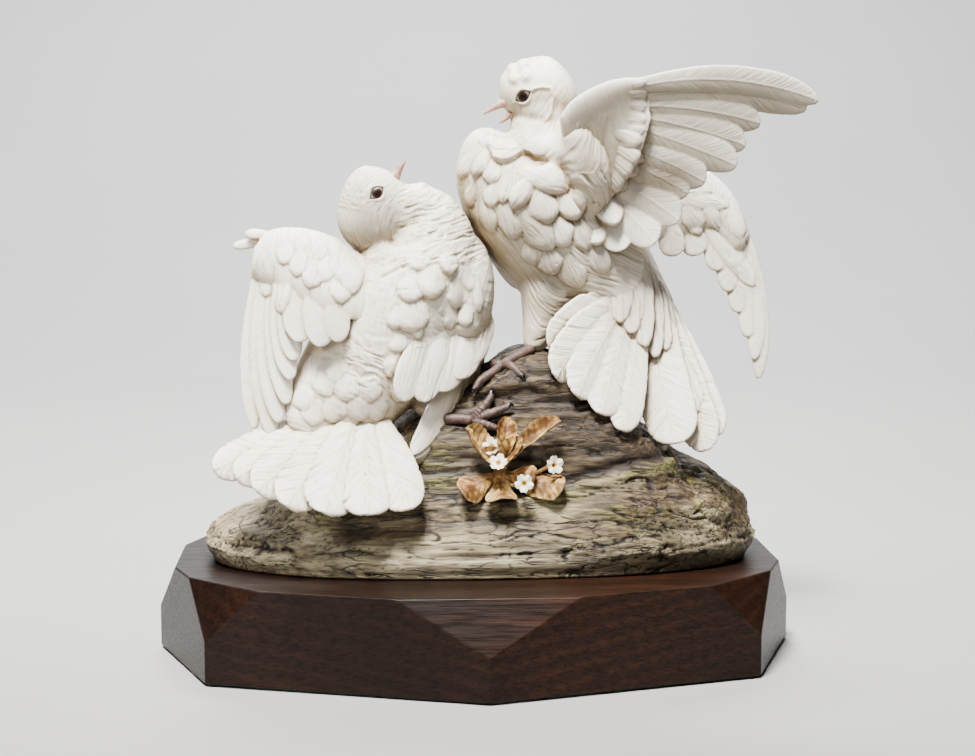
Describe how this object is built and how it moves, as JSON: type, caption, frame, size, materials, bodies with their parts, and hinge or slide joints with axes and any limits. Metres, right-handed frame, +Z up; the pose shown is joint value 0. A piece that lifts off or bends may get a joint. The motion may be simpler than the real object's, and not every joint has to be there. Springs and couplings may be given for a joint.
{
  "type": "porcelain dove figurine",
  "caption": "Bisque porcelain group of courting doves with spread wings on a weathered log with primroses, standing on a faceted walnut plinth.",
  "frame": {"origin": "middle of the felt's underside, below the centre of the plinth's octagon", "axes": "+X along the plinth's length, from the bird with the folded wing towards the standing bird; +Y away from the side the flowers face; +Z up"},
  "size_m": [0.324, 0.24, 0.2964],
  "materials": {
    "bisque_porcelain": "unglazed matte white, hand painted in earth colours on the log, leaves, beaks, eyes and feet",
    "walnut": "dark walnut with a satin varnish",
    "green_felt": "dark green felt"
  },
  "bodies": {
    "root": {"porcelain_doves": "bisque_porcelain", "walnut_plinth": "walnut", "felt_pad": "green_felt"}
  },
  "joints": []
}
